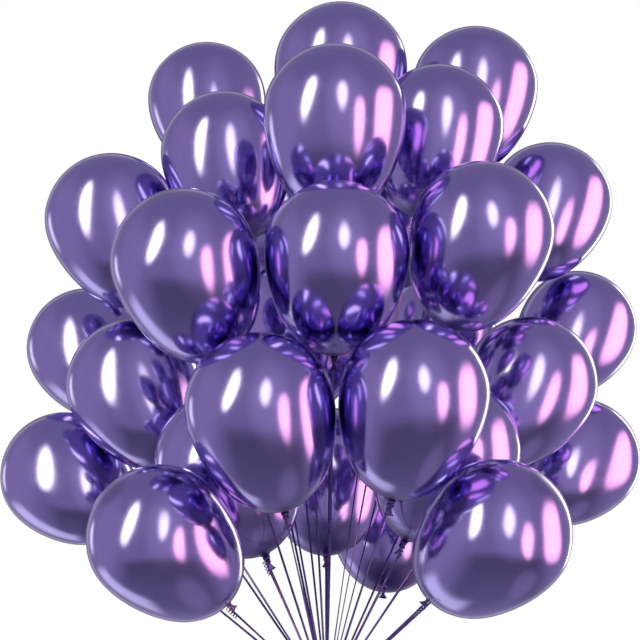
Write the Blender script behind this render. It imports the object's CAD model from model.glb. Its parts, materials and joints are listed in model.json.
"""Looks of a bunch of chrome latex balloons on curling ribbon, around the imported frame."""
import json
import math
import random

import bpy
import numpy as np
from mathutils import Matrix, Vector

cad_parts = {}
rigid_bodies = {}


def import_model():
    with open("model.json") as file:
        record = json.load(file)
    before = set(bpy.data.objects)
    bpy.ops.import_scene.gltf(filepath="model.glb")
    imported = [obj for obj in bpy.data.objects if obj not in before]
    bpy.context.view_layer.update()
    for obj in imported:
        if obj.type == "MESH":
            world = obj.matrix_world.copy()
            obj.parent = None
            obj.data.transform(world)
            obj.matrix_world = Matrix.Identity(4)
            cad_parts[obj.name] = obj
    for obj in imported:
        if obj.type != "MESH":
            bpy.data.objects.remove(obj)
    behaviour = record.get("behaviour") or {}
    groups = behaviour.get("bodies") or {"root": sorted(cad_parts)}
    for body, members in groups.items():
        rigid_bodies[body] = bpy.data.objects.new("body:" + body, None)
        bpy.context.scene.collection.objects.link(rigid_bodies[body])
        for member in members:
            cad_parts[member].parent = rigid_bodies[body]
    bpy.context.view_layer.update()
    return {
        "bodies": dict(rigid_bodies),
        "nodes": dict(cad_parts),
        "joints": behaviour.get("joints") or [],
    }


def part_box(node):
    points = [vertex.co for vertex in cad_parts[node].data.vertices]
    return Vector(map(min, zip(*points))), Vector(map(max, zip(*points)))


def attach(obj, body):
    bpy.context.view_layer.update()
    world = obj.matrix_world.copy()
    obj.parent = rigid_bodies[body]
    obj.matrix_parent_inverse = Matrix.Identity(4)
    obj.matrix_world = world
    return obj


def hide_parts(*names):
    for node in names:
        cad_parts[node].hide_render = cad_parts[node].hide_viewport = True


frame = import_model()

JOINTS = {joint["name"]: joint for joint in frame["joints"]}
NODES = frame["nodes"]
NUMBERS = sorted(name[-2:] for name in NODES if name.startswith("balloon_"))
GATHER = Vector(next(joint["pos_m"] for joint in frame["joints"]
                     if joint["name"].startswith("swing_")))     # centre of the gather knot
MM = 0.001
TAU = math.tau
PITCH = math.radians(20)                          # how far the camera looks up

# Colours, as linear red, green and blue.
LATEX_LIGHT, LATEX_DARK = (0.380, 0.310, 0.710), (0.350, 0.285, 0.665)
LATEX_SLACK = (0.048, 0.029, 0.175)               # where the rubber isn't stretched
RIBBON_LIGHT, RIBBON_DARK = (0.12, 0.075, 0.36), (0.045, 0.026, 0.16)
KNOT_LIGHT, KNOT_DARK = (0.10, 0.062, 0.32), (0.040, 0.024, 0.14)
FLOOR_LIGHT, FLOOR_DARK = (0.84, 0.84, 0.85), (0.80, 0.80, 0.81)


# ---------------------------------------------------------------- camera

CAMERA_PLACE = (-0.0126, -3.1428, -0.3086)
LENS, SENSOR_WIDTH = 90.0, 36.0


def add_camera():
    data = bpy.data.cameras.new("camera")
    data.lens, data.sensor_width = LENS, SENSOR_WIDTH
    data.clip_start, data.clip_end = 0.05, 60.0
    camera = bpy.data.objects.new("camera", data)
    camera.location = CAMERA_PLACE
    camera.rotation_euler = (math.pi / 2 + PITCH, 0.0, 0.0)
    bpy.context.scene.collection.objects.link(camera)
    bpy.context.scene.camera = camera


# ---------------------------------------------------------------- small helpers

def smoothstep(low, high, value):
    x = min(1.0, max(0.0, (value - low) / (high - low)))
    return x * x * (3 - 2 * x)


def any_way(rng):
    """A random bearing."""
    return rng.uniform(0, 6.28)


def bearings(count, back=False):
    """Evenly spaced bearings round a full turn, and back at the start once more if asked."""
    return [TAU * i / count for i in range(count + back)]


def turned(x, y, way):
    return x * math.cos(way) - y * math.sin(way), x * math.sin(way) + y * math.cos(way)


def circle(radius, count):
    return [(radius * math.cos(a), radius * math.sin(a), 0) for a in bearings(count)]


def trefoil(t):
    """The path of an overhand knot with its ends joined, seen flat."""
    return math.sin(t) + 2 * math.sin(2 * t), math.cos(t) - 2 * math.cos(2 * t)


# ---------------------------------------------------------------- node helpers

class Tree:
    """Short names for building a node tree."""

    def __init__(self, tree):
        self.tree = tree
        tree.nodes.clear()

    def add(self, kind, **values):
        node = self.tree.nodes.new(kind)
        for key, value in values.items():
            setattr(node, key, value)
        return node

    def link(self, source, target):
        self.tree.links.new(source, target)

    def math(self, operation, *inputs):
        node = self.add("ShaderNodeMath", operation=operation)
        for socket, value in zip(node.inputs, inputs):
            if isinstance(value, (int, float)):
                socket.default_value = value
            else:
                self.link(value, socket)
        return node.outputs[0]

    def times(self, one, two):
        return self.math("MULTIPLY", one, two)

    def ramp(self, value, low, high, start, end):
        """Goes smoothly from start, at low and under, to end, at high and over."""
        node = self.add("ShaderNodeMapRange", interpolation_type="SMOOTHSTEP")
        self.link(value, node.inputs["Value"])
        for name, number in (("From Min", low), ("From Max", high),
                             ("To Min", start), ("To Max", end)):
            node.inputs[name].default_value = number
        return node.outputs["Result"]

    def band(self, value, low, high, edge):
        """1 between low and high, with soft edges."""
        rise = self.ramp(value, low - edge / 2, low + edge / 2, 0.0, 1.0)
        fall = self.ramp(value, high - edge / 2, high + edge / 2, 1.0, 0.0)
        return self.times(rise, fall)

    def noise(self, vector, scale, detail=2.0, rough=0.5):
        node = self.add("ShaderNodeTexNoise")
        self.link(vector, node.inputs["Vector"])
        node.inputs["Scale"].default_value = scale
        node.inputs["Detail"].default_value = detail
        node.inputs["Roughness"].default_value = rough
        return node.outputs["Fac"]

    def mix(self, factor, first, second):
        """From first to second, which are colours or sockets."""
        node = self.add("ShaderNodeMix", data_type="RGBA")
        self.link(factor, node.inputs[0])
        for socket, value in ((node.inputs[6], first), (node.inputs[7], second)):
            if isinstance(value, tuple):
                socket.default_value = value + (1.0,)
            else:
                self.link(value, socket)
        return node.outputs[2]

    def glow(self, colour, strength, more=None):
        """A colour times a strength, on top of more light."""
        node = self.add("ShaderNodeVectorMath", operation="SCALE")
        node.inputs[0].default_value = colour
        self.link(strength, node.inputs["Scale"])
        if more is None:
            return node.outputs[0]
        total = self.add("ShaderNodeVectorMath", operation="ADD")
        self.link(node.outputs[0], total.inputs[0])
        self.link(more, total.inputs[1])
        return total.outputs[0]

    def bump(self, height, strength, distance, normal=None):
        node = self.add("ShaderNodeBump")
        node.inputs["Strength"].default_value = strength
        node.inputs["Distance"].default_value = distance
        self.link(height, node.inputs["Height"])
        if normal is not None:
            self.link(normal, node.inputs["Normal"])
        return node.outputs["Normal"]

    def place(self):
        """Where a point is on its own piece."""
        return self.add("ShaderNodeTexCoord").outputs["Object"]

    def fact(self, name):
        """One of the per-point facts that a Shell carries."""
        return self.add("ShaderNodeAttribute", attribute_name=name).outputs["Fac"]


def new_material(name):
    material = bpy.data.materials.new(name)
    material.use_nodes = True
    tree = Tree(material.node_tree)
    shader = tree.add("ShaderNodeBsdfPrincipled")
    output = tree.add("ShaderNodeOutputMaterial")
    tree.link(shader.outputs[0], output.inputs["Surface"])
    return material, tree, shader


def latex_material():
    """Mirror-finish latex: a metallic film, darker and duller where the rubber isn't stretched."""
    material, tree, shader = new_material("chrome_latex")
    where = tree.place()
    stretch = tree.fact("stretch")
    cloud = tree.noise(where, 16.0)
    tone = tree.mix(tree.ramp(cloud, 0.35, 0.65, 0.0, 0.35), LATEX_LIGHT, LATEX_DARK)
    tone = tree.mix(tree.ramp(stretch, 0.0, 1.0, 1.0, 0.0), tone, LATEX_SLACK)
    tree.link(tone, shader.inputs["Base Color"])
    shader.inputs["Metallic"].default_value = 1.0
    haze = tree.noise(where, 60.0, 3.0, 0.6)
    rough = tree.math("ADD", tree.ramp(haze, 0.3, 0.7, 0.13, 0.17),
                      tree.ramp(stretch, 0.0, 1.0, 0.26, 0.0))
    tree.link(rough, shader.inputs["Roughness"])
    swell, grain = tree.noise(where, 9.0, 1.0), tree.noise(where, 420.0)
    normal = tree.bump(swell, 0.10, 4.0 * MM)
    normal = tree.bump(grain, 0.10, 0.08 * MM, normal)
    tree.link(normal, shader.inputs["Normal"])
    return material


def ribbon_material(name, light, dark):
    """Curling ribbon: glossy film with fine lengthwise lines and a cloudy sheen."""
    material, tree, shader = new_material(name)
    where = tree.place()
    across, along = tree.fact("across"), tree.fact("along")
    lines = tree.math("SINE", tree.times(across, 26.0))
    cloud = tree.noise(where, 45.0)
    tone = tree.mix(tree.ramp(cloud, 0.3, 0.7, 0.0, 1.0), light, dark)
    tone = tree.mix(tree.ramp(lines, -1.0, 1.0, 0.0, 0.25), tone, dark)
    tree.link(tone, shader.inputs["Base Color"])
    shader.inputs["Metallic"].default_value = 0.35
    tree.link(tree.ramp(cloud, 0.3, 0.7, 0.20, 0.32), shader.inputs["Roughness"])
    crimp = tree.noise(where, 260.0)
    steps = tree.math("SINE", tree.times(along, 2600.0))
    normal = tree.bump(lines, 0.25, 0.06 * MM)
    normal = tree.bump(tree.math("ADD", crimp, tree.times(steps, 0.15)), 0.2, 0.08 * MM, normal)
    tree.link(normal, shader.inputs["Normal"])
    shader.inputs["Coat Weight"].default_value = 0.4
    shader.inputs["Coat Roughness"].default_value = 0.12
    return material


# ---------------------------------------------------------------- mesh helpers

class Shell:
    """Collects rings of points into one mesh with per-point facts for the materials."""

    def __init__(self):
        self.points, self.faces = [], []
        self.facts = {"stretch": [], "across": [], "along": []}

    def ring(self, points, stretch=1.0, across=None, along=0.0):
        first = len(self.points)
        self.points.extend(tuple(p) for p in points)
        count = len(points)
        self.facts["stretch"] += [stretch] * count
        self.facts["across"] += list(across) if across is not None else [0.0] * count
        self.facts["along"] += [along] * count
        return list(range(first, first + count))

    def join(self, one, two):
        count = len(one)
        for i in range(count):
            j = (i + 1) % count
            self.faces.append((one[i], one[j], two[j], two[i]))

    def fan(self, ring, centre, stretch=1.0, along=0.0, flip=False):
        tip = self.ring([centre], stretch, None, along)[0]
        for i, point in enumerate(ring):
            after = ring[(i + 1) % len(ring)]
            self.faces.append((after, point, tip) if flip else (point, after, tip))

    def sweep(self, path, sides, section, scales=None, stretch=1.0):
        """Draw a closed section along a path. sides are the section's first axis at each point;
        the section is (first, second, across) and scales has one number or two per point."""
        path = np.array(path, float)
        sides = np.array(sides, float)
        run = np.gradient(path, axis=0)
        run /= np.linalg.norm(run, axis=1)[:, None]
        sides -= run * (sides * run).sum(1)[:, None]
        sides /= np.linalg.norm(sides, axis=1)[:, None]
        others = np.cross(run, sides)
        lengths = np.concatenate([[0], np.cumsum(np.linalg.norm(np.diff(path, axis=0), axis=1))])
        rings = []
        for k, point in enumerate(path):
            grow = (1.0, 1.0) if scales is None else scales[k]
            if isinstance(grow, float):
                grow = (grow, grow)
            ring = self.ring([point + sides[k] * s[0] * grow[0] + others[k] * s[1] * grow[1]
                              for s in section], stretch, [s[2] for s in section], lengths[k])
            if rings:
                self.join(rings[-1], ring)
            rings.append(ring)
        self.fan(rings[0], path[0], stretch, lengths[0], flip=True)
        self.fan(rings[-1], path[-1], stretch, lengths[-1])

    def build(self, name, material, matrix=None):
        """Make the piece. The matrix goes into its points, so that its own axes are the frame's."""
        points = np.array(self.points, float)
        if matrix is not None:
            turn = np.array(matrix)
            points = points @ turn[:3, :3].T + turn[:3, 3]
        mesh = bpy.data.meshes.new(name)
        mesh.from_pydata(points.tolist(), [], self.faces)
        for key, values in self.facts.items():
            layer = mesh.attributes.new(key, "FLOAT", "POINT")
            layer.data.foreach_set("value", np.array(values, np.float32))
        mesh.polygons.foreach_set("use_smooth", [True] * len(mesh.polygons))
        mesh.materials.append(material)
        mesh.update()
        obj = bpy.data.objects.new(name, mesh)
        bpy.context.scene.collection.objects.link(obj)
        return obj


def strip_section(width, thick, cup=0.0):
    """Flat ribbon, slightly cupped across: half the points above, half below."""
    top = []
    for i in range(5):
        u = -1 + i / 2
        top.append((u * width / 2, cup * (u * u - 0.4) + thick / 2 * (1 - 0.6 * abs(u) ** 6), u))
    low = [(x, y - thick * (1 - 0.6 * abs(u) ** 6), u) for x, y, u in reversed(top)]
    return (top + low)[::-1]


def round_section(first, second, count):
    return [(first * math.cos(a), second * math.sin(a), math.cos(a)) for a in bearings(count)]


# ---------------------------------------------------------------- what the frame says

def points_of(name):
    mesh = NODES[name].data
    flat = np.empty(len(mesh.vertices) * 3)
    mesh.vertices.foreach_get("co", flat)
    return flat.reshape(-1, 3)


def about_axis(points, origin, axis):
    """Height along an axis, the vector out from it and that vector's length, for each point."""
    rest = points - np.array(origin)
    height = rest @ np.array(axis)
    out = rest - np.outer(height, axis)
    return height, out, np.linalg.norm(out, axis=1)


def measure(number):
    """Neck, axis, girth radius and ribbon side of one balloon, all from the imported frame."""
    joint = JOINTS["twist_" + number]
    axis, neck = Vector(joint["axis"]).normalized(), Vector(joint["pos_m"])
    height, _, far = about_axis(points_of("balloon_" + number), neck, axis)
    radius = float(far.max())
    _, out, far = about_axis(points_of("ribbon_" + number), neck, axis)
    side = Vector(out[far > 0.9 * far.max()].mean(axis=0)).normalized()
    other = axis.cross(side)
    matrix = Matrix.Translation(neck) @ Matrix((side, other, axis)).transposed().to_4x4()
    return {"axis": axis, "neck": neck, "radius": radius, "side": side, "matrix": matrix,
            "girth": float(height.max()) - radius}


# ---------------------------------------------------------------- balloon

# Heights are along the balloon's axis, up from the ribbon's loop round the neck.
AROUND = 96                                       # points round the skin
TAPER = 1.45                                      # lower half's length over the girth radius
TAPER_FROM, TAPER_TO = math.radians(50), math.radians(140)       # angles down from the crown
NECK_RADIUS, NECK_FILLET = 5.4 * MM, 9.0 * MM
KNOT_TOP = -2 * MM                                # the skin below this is inside the knot
PLEAT_DEPTH, PLEAT_RISE = 0.75 * MM, 11 * MM      # at the foot, and how far up they fade
KNOT_PLEAT_DEPTH = 0.9 * MM
SLACK_FROM, SLACK_TO = -8 * MM, 62 * MM           # above the foot, where the rubber tightens
CROWN_FROM, CROWN_TO = 0.002 * MM, 9 * MM         # below the crown, where its dark spot fades


def skin_profile(radius, girth):
    """(radius, height) from the crown to the foot of the neck, and the height of the foot."""
    depth = TAPER * radius
    # halve down to the angle at which the fillet leaves the taper
    low, high = 0.0, 0.6
    for _ in range(50):
        angle = 0.5 * (low + high)
        nx, ny = math.sin(angle) / radius, -math.cos(angle) / depth
        unit = NECK_FILLET / math.hypot(nx, ny)
        if radius * math.sin(angle) + nx * unit < NECK_RADIUS + NECK_FILLET:
            low = angle
        else:
            high = angle
    profile = []
    steps = 72
    for i in range(1, steps + 1):
        turn = (math.pi - angle) * i / steps
        long = 1.0 + (TAPER - 1.0) * smoothstep(TAPER_FROM, TAPER_TO, turn)
        profile.append((radius * math.sin(turn), girth + radius * long * math.cos(turn)))
    middle = NECK_RADIUS + NECK_FILLET
    foot = girth - depth * math.cos(angle) + ny * unit
    begin = math.atan2(-ny, -nx)
    begin = begin if begin > 0 else begin + TAU
    steps = 8
    for i in range(1, steps + 1):
        a = begin + (math.pi - begin) * i / steps
        profile.append((middle + NECK_FILLET * math.cos(a), foot + NECK_FILLET * math.sin(a)))
    for z in (foot - 1.5 * MM, -3.0 * MM, -5.5 * MM):
        profile.append((NECK_RADIUS * (0.92 if z < KNOT_TOP else 1.0), min(z, foot - 0.5 * MM)))
    return profile, foot


def make_skin(shell, radius, girth, rng):
    """The blown-up skin, very slightly oval, with pleats that gather into the neck."""
    profile, foot = skin_profile(radius, girth)
    pleats, phase = rng.choice((9, 10, 11)), any_way(rng)
    oval, lean = rng.uniform(0.001, 0.004), any_way(rng)
    bend, ripple, _ = [any_way(rng) for _ in range(3)]       # a third draw keeps their order
    crown = girth + radius
    last = None
    for r, z in profile:
        lift = max(0.0, z - foot)
        depth = PLEAT_DEPTH * math.exp(-lift / PLEAT_RISE) if z > KNOT_TOP else KNOT_PLEAT_DEPTH
        depth = min(depth, 0.18 * r)
        stretch = min(smoothstep(SLACK_FROM, SLACK_TO, lift),
                      0.55 + 0.45 * smoothstep(CROWN_FROM, CROWN_TO, crown - z))
        points = []
        for a in bearings(AROUND):
            fold = math.cos(pleats * a + phase + 0.6 * math.sin(2 * a + bend))
            fold += 0.4 * math.cos((pleats + 6) * a + ripple)
            round_r = r * (1 + oval * math.cos(2 * a + lean)) + depth * fold * 0.7
            points.append((round_r * math.cos(a), round_r * math.sin(a), z))
        ring = shell.ring(points, stretch)
        if last is None:
            shell.fan(ring, (0, 0, crown), 0.5)
        else:
            shell.join(ring, last)
        last = ring


KNOT_MIDDLE = -6.5 * MM
KNOT_SPREAD, KNOT_DEPTH = 1.42 * MM, 2.1 * MM     # of the tube's middle line
KNOT_TUBE, NECK_TUBE = 2.25 * MM, 3.9 * MM
NECK_PATH = [(0, 0, -1.0 * MM), (0.3 * MM, 0, -6 * MM), (0, 0.2 * MM, -12 * MM)]


def make_knot(shell, rng):
    """The overhand knot in the neck: a tube tied through itself, round the neck's own tube."""
    turn, size = any_way(rng), rng.uniform(0.92, 1.05)
    path, sides, folds = [], [], []
    for i, t in enumerate(bearings(72, back=True)):
        a, b = turned(*trefoil(t), turn)
        path.append((KNOT_SPREAD * a * size, KNOT_SPREAD * b * size,
                     KNOT_MIDDLE + KNOT_DEPTH * math.sin(3 * t)))
        sides.append((math.cos(t), math.sin(t), 0.8))
        folds.append(1.0 + 0.10 * math.sin(i * 1.3 + turn))
    shell.sweep(path, sides, round_section(KNOT_TUBE, KNOT_TUBE, 12), folds, 0.25)
    shell.sweep(NECK_PATH, [(1, 0, 0)] * 3, round_section(NECK_TUBE, NECK_TUBE, 16),
                [1.0, 1.15, 0.8], 0.3)


LIP_TOP, LIP_LENGTH = -10.0 * MM, 14.4 * MM
LIP_CURL, LIP_WAVE = 1.1 * MM, 0.8 * MM           # its edge's bends sideways and up and down
BEAD_OUT, BEAD_UP = 0.55 * MM, 0.75 * MM          # half the rolled bead's width and height
MOUTH_WALL = 0.5 * MM                             # from the outer to the inner face of the mouth


def make_lip(shell, rng, wide_way):
    """The flattened, pleated end of the neck with its rolled bead and open mouth."""
    twist, phase = wide_way + rng.uniform(-0.6, 0.6), any_way(rng)
    flat = rng.uniform(0.30, 0.45)                # thickness at the mouth over that at the knot

    def ring_at(s, grow=0.0, lift=0.0, depth=1.0):
        """The outline at s, from 0 at the knot to 1 at the mouth."""
        wide = (2.7 + 5.5 * s ** 1.6) * MM * depth + grow
        thick = (3.0 - 3.0 * (1 - flat) * s) * MM * depth + grow
        points = []
        for a in bearings(48):
            fold = 1 + 0.10 * s * math.sin(5 * a + phase) + 0.05 * s * math.sin(9 * a)
            x, y = wide * math.cos(a) * fold, thick * math.sin(a) * fold
            y += LIP_CURL * s * s * math.sin(2.2 * math.cos(a) + phase)
            z = LIP_TOP - LIP_LENGTH * s + lift - LIP_WAVE * s * math.cos(2 * a + phase)
            points.append((*turned(x, y, twist), z))
        return points

    rings = [shell.ring(ring_at(s), 0.30) for s in (0, 0.12, 0.25, 0.4, 0.55, 0.7, 0.82, 0.9)]
    for i in range(9):
        a = math.pi * (0.15 + 1.3 * i / 8)
        rings.append(shell.ring(ring_at(1.0, grow=BEAD_OUT * math.sin(a) - 0.05 * MM,
                                        lift=BEAD_UP * math.cos(a)), 0.05))
    for s in (0.9, 0.7, 0.5, 0.3):
        rings.append(shell.ring(ring_at(s, grow=-MOUTH_WALL, depth=0.9), 0.1))
    for one, two in zip(rings, rings[1:]):
        shell.join(two, one)
    centre = np.mean([shell.points[i] for i in rings[-1]], axis=0)
    shell.fan(rings[-1], centre, 0.05)


def make_balloon(number, facts, material):
    rng = random.Random(1000 + int(number))
    shell = Shell()
    turn = any_way(rng)
    wide = facts["axis"].cross(Vector((0, 1, 0)))                # the lip's flat faces the front
    wide_way = math.atan2(wide.dot(facts["matrix"].col[1].xyz), wide.dot(facts["side"])) - turn
    make_skin(shell, facts["radius"], facts["girth"], rng)
    make_knot(shell, rng)
    make_lip(shell, rng, wide_way)
    balloon = shell.build("latex_" + number, material,
                          facts["matrix"] @ Matrix.Rotation(turn, 4, "Z"))
    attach(balloon, "balloon_" + number)
    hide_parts("balloon_" + number)


# ---------------------------------------------------------------- ribbon

GATHER_RADIUS = 0.0182                            # reach of the knot, where the ribbons end
TIE_OFFSET = 0.0108                               # the ribbon's own knot, beside the neck
CURL_OFFSET = 0.0168                              # middle of the curl, beside the neck
RIBBON_WIDTH = 0.0048
RIBBON_THICK = 0.00022
PINCH_RUN = 0.030                                 # over which a tied ribbon spreads again
WRAP_RADIUS, WRAP_LOW, WRAP_RISE = 6.95 * MM, -0.6 * MM, 2.4 * MM
WRAP_TURNS = 2.5
TIE_SIZE = 0.78 * MM


def ribbon_body(number):
    return "ribbon_" + number if "ribbon_" + number in frame["bodies"] else "bunch"


def make_strand(number, facts, material):
    """The straight, taut run of flat ribbon from its tie to the gather knot."""
    rng = random.Random(2000 + int(number))
    start = facts["neck"] + facts["side"] * TIE_OFFSET
    run = (start - GATHER).normalized()
    end = GATHER + run * GATHER_RADIUS
    length = (start - end).length
    across = run.cross(Vector((0, -1, 0))).normalized()         # its flat mostly faces the front
    other = run.cross(across)
    lean, sway, phase = rng.uniform(-1.0, 1.0), rng.uniform(0.1, 0.5), any_way(rng)
    steps = 64
    path, sides, scales = [], [], []
    for i in range(steps + 1):
        s = i / steps
        path.append(start.lerp(end, s))
        a = lean + sway * math.sin(TAU * s + phase)
        sides.append(across * math.cos(a) + other * math.sin(a))
        near = min(s * length, (1 - s) * length)
        scales.append((0.42 + 0.58 * smoothstep(0.0, PINCH_RUN, near), 1.0))
    shell = Shell()
    shell.sweep(path, sides, strip_section(0.94 * RIBBON_WIDTH, RIBBON_THICK, 0.2 * MM), scales)
    strand = shell.build("ribbon_strand_" + number, material)
    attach(strand, ribbon_body(number))
    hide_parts("ribbon_" + number)
    return strand, start, length, path


def add_wraps(shell):
    """The ribbon's turns round the neck."""
    steps = 90
    path, sides = [], []
    for i in range(steps + 1):
        a = -0.5 * WRAP_TURNS * TAU + WRAP_TURNS * TAU * i / steps
        r = WRAP_RADIUS + 0.25 * MM * math.sin(3 * a)
        path.append((r * math.cos(a), r * math.sin(a), WRAP_LOW + WRAP_RISE * i / steps))
        sides.append((math.cos(a), math.sin(a), 0))
    shell.sweep(path, sides, round_section(0.55 * MM, 0.95 * MM, 8))


def add_tie(shell):
    """The small knot beside the neck."""
    path, sides = [], []
    for t in bearings(48, back=True):
        x, y = trefoil(t)
        path.append((TIE_OFFSET - 0.4 * MM + 0.9 * MM * math.sin(3 * t), TIE_SIZE * x,
                     TIE_SIZE * y))
        sides.append((1, 0, 0.3))
    shell.sweep(path, sides, round_section(0.7 * MM, 1.0 * MM, 8))


def add_free_end(shell, rng):
    """The curled free end: a spiral of flat ribbon that hangs beside the strand."""
    turns, reach = rng.uniform(4.2, 5.2), rng.uniform(31.0, 34.0) * MM
    width, bend = rng.uniform(3.8, 4.3) * MM, rng.uniform(-1.0, 1.0) * MM
    phase = any_way(rng)
    steps = 150
    path, sides, scales = [], [], []
    for i in range(steps + 1):
        s = i / steps
        a = phase + TAU * turns * s
        grow = smoothstep(0.0, 0.16, s)
        r = width * grow * (1.0 - 0.25 * smoothstep(0.6, 1.0, s))
        middle = TIE_OFFSET + (CURL_OFFSET - TIE_OFFSET) * grow + bend * s * (1 - s) * 2
        path.append((middle + r * math.cos(a), r * math.sin(a), -0.5 * MM - reach * s))
        sides.append((0.12 * math.cos(a), 0.12 * math.sin(a), 1.0))
        scales.append((0.35 + 0.65 * smoothstep(0, 0.12, s), 1.0))
    shell.sweep(path, sides, strip_section(0.42 * RIBBON_WIDTH, RIBBON_THICK), scales)


def make_curl(number, facts, material):
    """Wraps round the neck, the small knot beside it, and the curled free end."""
    shell = Shell()
    add_wraps(shell)
    add_tie(shell)
    add_free_end(shell, random.Random(3000 + int(number)))
    curl = shell.build("ribbon_curl_" + number, material, facts["matrix"])
    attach(curl, ribbon_body(number))
    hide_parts("ribbon_" + number)
    return curl


def make_ribbon(number, facts, material):
    strand, start, length, path = make_strand(number, facts, material)
    curl = make_curl(number, facts, material)


# ---------------------------------------------------------------- gather knot and tails

CORE_RADIUS, CORE_FLAT = 15.2 * MM, -11.0 * MM    # the knot is flat where the tails leave it
WRAP_FLAT = -12.0 * MM
WRAPS = 16


def add_core(shell):
    """The round middle of the gather knot."""
    rings, around = 14, 40
    last = None
    for j in range(1, rings):
        t = math.pi * j / rings
        points = []
        for a in bearings(around):
            r = CORE_RADIUS * (1 + 0.03 * math.sin(5 * a + 3 * t))
            z = max(r * math.cos(t), CORE_FLAT)
            points.append((r * math.sin(t) * math.cos(a), r * math.sin(t) * math.sin(a), z))
        ring = shell.ring(points, 1.0, [math.sin(3 * i) for i in range(around)], j * MM)
        if last is None:
            shell.fan(ring, (0, 0, CORE_RADIUS))
        else:
            shell.join(ring, last)
        last = ring
    shell.fan(last, (0, 0, CORE_FLAT), flip=True)


def add_winding(shell, rng, k):
    """One turn of ribbon on the core, each over the one before."""
    tilt = Matrix.Rotation(rng.uniform(-1.2, 1.2), 3, "X") @ Matrix.Rotation(any_way(rng), 3, "Z")
    shift = rng.uniform(-7.0, 8.0) * MM
    ball = (15.8 + 0.12 * k) * MM
    r = math.sqrt(ball ** 2 - shift ** 2)
    path, sides = [], []
    for way in bearings(60, back=True):
        a = way + 0.02 * math.sin(k)
        wave = 0.5 * MM * math.sin(3 * a + k)
        point = tilt @ Vector((r * math.cos(a), r * math.sin(a), shift + wave))
        point.z = max(point.z, WRAP_FLAT)
        path.append(point)
        sides.append(tilt @ Vector((-shift / ball * math.cos(a), -shift / ball * math.sin(a),
                                    r / ball)))
    shell.sweep(path, sides, strip_section(RIBBON_WIDTH, 0.5 * MM))


def make_gather(material):
    """All the ribbons wound over each other in one round knot."""
    rng = random.Random(41)
    shell = Shell()
    add_core(shell)
    for k in range(WRAPS):
        add_winding(shell, rng, k)
    knot = shell.build("gather_wraps", material, Matrix.Translation(GATHER))
    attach(knot, "bunch")
    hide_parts("gather_knot")


TAIL_RINGS = ((0.36, 6, 0.0), (0.66, 10, 0.5), (0.93, 12, 0.5))  # reach, ends, part of a step on


def make_tails(material):
    """The cut ends of all the ribbons, laid side by side below the gather knot."""
    rng = random.Random(43)
    low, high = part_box("ribbon_tails")
    radius = 0.5 * (high.x - low.x)
    shell = Shell()
    places = [(0.0, 0.0)]
    for reach, count, ahead in TAIL_RINGS:
        for i in range(count):
            a = TAU * (i + ahead) / count
            places.append((reach * radius * math.cos(a), reach * radius * math.sin(a)))
    steps = 24
    for k, (x, y) in enumerate(places):
        facing = math.atan2(y, x) + math.pi / 2 + rng.uniform(-0.3, 0.3)
        drop = rng.uniform(0.0, 9.0) * MM         # how far short of the lowest end it is cut
        path, sides, scales = [], [], []
        for i in range(steps + 1):
            s = i / steps
            z = high.z + 3 * MM + (low.z - high.z - 3 * MM + drop) * s
            spread = 1.0 + 0.25 * smoothstep(0.55, 1.0, s)
            path.append((x * spread + 0.3 * MM * math.sin(7 * s + k),
                         y * spread + 0.3 * MM * math.cos(6 * s + 2 * k), z))
            a = facing + 0.5 * math.sin(3 * s + k)
            sides.append((math.cos(a), math.sin(a), 0.0))
            scales.append((0.55 + 0.4 * smoothstep(0.1, 0.9, s), 1.0))
        shell.sweep(path, sides, strip_section(0.9 * RIBBON_WIDTH, 0.3 * MM, 0.2 * MM), scales)
    tails = shell.build("ribbon_ends", material)
    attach(tails, "bunch")
    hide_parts("ribbon_tails")


# ---------------------------------------------------------------- room and light

# The room is laid out as a mirror ball in the middle of the view shows it: places across and up
# the ball run from -1 to 1, and the rim of the ball is the far side of the room.
ROOM = (0.36, 0.32, 0.42)                         # dim lilac walls
OVERHEAD = (0.2, 0.9, 1.0, 0.86)                  # the walls dim a little up the ball
FAR_SIDE = (0.955, 0.995, 1.0, 0.45)              # and more at its rim
# Darker low in front, where the operator and the table would be: lowest, highest and soft edge
# across the ball and up it, how it weakens downwards, and how much of the light it takes.
DARK_ACROSS, DARK_UP = (-0.44, 0.56, 0.26), (-0.84, -0.26, 0.16)
DARK_FADE = (-0.80, -0.34, 0.6, 1.0)
DARK = 0.56
EDGE = (0.24, 0.25, 0.22)                         # thin light line all round, just inside the rim
EDGE_PLACE = (0.942, 0.968, 0.02)
# Panels: middle across, half width, lowest, highest, lean of the top to the right, squareness
# (2 is an oval), and light in red, green and blue.
PANELS = [
    (-0.35, 0.068, -0.03, 0.48, 0.28, 2.2, (5.4, 5.8, 3.4)),
    (0.10, 0.068, 0.03, 0.40, 0.00, 2.0, (2.8, 2.9, 1.9)),
    (0.34, 0.070, -0.27, 0.16, 0.00, 2.4, (3.6, 1.9, 1.8)),
    (0.67, 0.115, -0.34, 0.36, 0.00, 3.0, (3.9, 1.9, 1.8)),
    (0.30, 0.130, -0.80, -0.46, 0.30, 2.0, (0.13, 0.12, 0.13)),
    (0.14, 0.260, -0.30, 0.60, 0.00, 2.0, (0.14, 0.13, 0.14)),
    (-0.66, 0.160, -0.50, 0.60, 0.10, 2.0, (0.10, 0.08, 0.09)),
]
PANEL_END = (0.83, 0.89, 1.0, 0.0)                # no panel goes on beyond this reach
# Rim lights: distance from the middle, half width, middle bearing and half spread in degrees
# about the ball (0 is right, 90 is up), and light.
RIMS = [
    (0.955, 0.012, 3, 34, (3.6, 3.7, 2.6)),
    (0.890, 0.020, -174, 9, (1.5, 1.6, 1.2)),
    (0.838, 0.055, -126, 23, (0.85, 0.92, 0.76)),
]
RIM_SOFT = 6                                      # degrees, at both ends of a rim light


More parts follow.
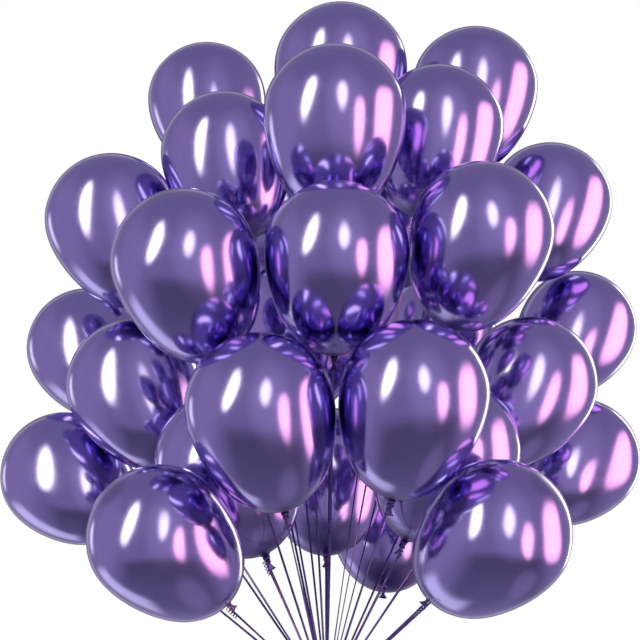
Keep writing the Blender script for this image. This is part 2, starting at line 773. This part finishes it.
def mirror_ball(tree):
    """Place across the ball and up it, and reach from its middle, for each direction."""
    split = tree.add("ShaderNodeSeparateXYZ")
    tree.link(tree.add("ShaderNodeTexCoord").outputs["Generated"], split.inputs[0])
    x, y, z = split.outputs
    # turned with the line of sight, then from a direction to a place on the ball
    ahead = tree.math("ADD", tree.times(y, math.cos(PITCH)), tree.times(z, math.sin(PITCH)))
    above = tree.math("SUBTRACT", tree.times(z, math.cos(PITCH)), tree.times(y, math.sin(PITCH)))
    spread = tree.times(tree.math("SUBTRACT", 1.0, ahead), 2.0)
    spread = tree.math("SQRT", tree.math("MAXIMUM", spread, 0.0001))
    across, up = tree.math("DIVIDE", x, spread), tree.math("DIVIDE", above, spread)
    reach = tree.math("SQRT", tree.math("ADD", tree.times(across, across), tree.times(up, up)))
    return across, up, reach


def room_light(tree):
    """Walls, light line, panels and rim lights."""
    across, up, reach = mirror_ball(tree)
    shade = tree.times(tree.band(across, *DARK_ACROSS), tree.band(up, *DARK_UP))
    shade = tree.times(shade, tree.ramp(up, *DARK_FADE))
    level = tree.math("SUBTRACT", tree.ramp(up, *OVERHEAD), tree.times(shade, DARK))
    level = tree.times(level, tree.ramp(reach, *FAR_SIDE))
    light = tree.glow(EDGE, tree.band(reach, *EDGE_PLACE), tree.glow(ROOM, level))
    inside = tree.ramp(reach, *PANEL_END)
    for middle, half, low, high, lean, square, colour in PANELS:
        rise = tree.math("SUBTRACT", up, (low + high) / 2)
        place = tree.math("SUBTRACT", tree.math("SUBTRACT", across, middle),
                          tree.times(rise, lean))
        far = [tree.math("POWER", tree.math("ABSOLUTE", tree.math("DIVIDE", away, size)), square)
               for away, size in ((place, half), (rise, (high - low) / 2))]
        mask = tree.times(tree.ramp(tree.math("ADD", *far), 0.2, 1.8, 1.0, 0.0), inside)
        light = tree.glow(colour, mask, light)
    for middle, half, bearing, around, colour in RIMS:
        turn = math.radians(bearing)
        facing = tree.math("DIVIDE", tree.math("ADD", tree.times(across, math.cos(turn)),
                                               tree.times(up, math.sin(turn))), reach)
        ends = tree.ramp(facing, math.cos(math.radians(around + RIM_SOFT)),
                         math.cos(math.radians(around - RIM_SOFT)), 0.0, 1.0)
        mask = tree.times(tree.band(reach, middle - half, middle + half, half), ends)
        light = tree.glow(colour, mask, light)
    return light


def make_world():
    """The room as light and in reflections; straight behind the bunch it is plain white."""
    world = bpy.data.worlds.new("studio")
    bpy.context.scene.world = world
    world.use_nodes = True
    tree = Tree(world.node_tree)
    room = tree.add("ShaderNodeBackground")
    tree.link(room_light(tree), room.inputs["Color"])
    white = tree.add("ShaderNodeBackground")
    white.inputs["Color"].default_value = (1.0, 1.0, 1.0, 1.0)
    mixer = tree.add("ShaderNodeMixShader")
    tree.link(tree.add("ShaderNodeLightPath").outputs["Is Camera Ray"], mixer.inputs[0])
    tree.link(room.outputs[0], mixer.inputs[1])
    tree.link(white.outputs[0], mixer.inputs[2])
    tree.link(mixer.outputs[0], tree.add("ShaderNodeOutputWorld").inputs["Surface"])


FLOOR_HEIGHT = -1.2
FLOOR_SOLID, FLOOR_FADE, FLOOR_RADIUS = 0.3, 0.7, 1.5            # it fades out between the last two


def make_floor():
    """A pale round floor under the bunch that fades into the white of the room."""
    shell = Shell()
    inner, outer = shell.ring(circle(FLOOR_SOLID, 96)), shell.ring(circle(FLOOR_RADIUS, 96))
    shell.fan(inner, (0, 0, 0))
    shell.join(outer, inner)
    material, tree, shader = new_material("pale_floor")
    where = tree.place()
    length = tree.add("ShaderNodeVectorMath", operation="LENGTH")
    tree.link(where, length.inputs[0])
    tone = tree.mix(tree.noise(where, 40.0), FLOOR_DARK, FLOOR_LIGHT)
    tree.link(tone, shader.inputs["Base Color"])
    shader.inputs["Roughness"].default_value = 0.8
    shader.inputs["Emission Color"].default_value = FLOOR_LIGHT + (1.0,)
    shader.inputs["Emission Strength"].default_value = 0.35
    alpha = tree.ramp(length.outputs["Value"], FLOOR_FADE, FLOOR_RADIUS, 1.0, 0.0)
    tree.link(alpha, shader.inputs["Alpha"])
    floor = shell.build("floor", material)
    floor.location = (0, 0, FLOOR_HEIGHT)
    floor.visible_glossy = False


add_camera()
latex = latex_material()
ribbon = ribbon_material("curling_ribbon", RIBBON_LIGHT, RIBBON_DARK)
knot_ribbon = ribbon_material("knotted_ribbon", KNOT_LIGHT, KNOT_DARK)
for number in NUMBERS:
    facts = measure(number)
    make_ribbon(number, facts, ribbon)
    make_balloon(number, facts, latex)
make_gather(knot_ribbon)
make_tails(ribbon)
make_world()
make_floor()
bpy.context.scene.view_settings.view_transform = "Standard"
bpy.context.scene.view_settings.look = "None"
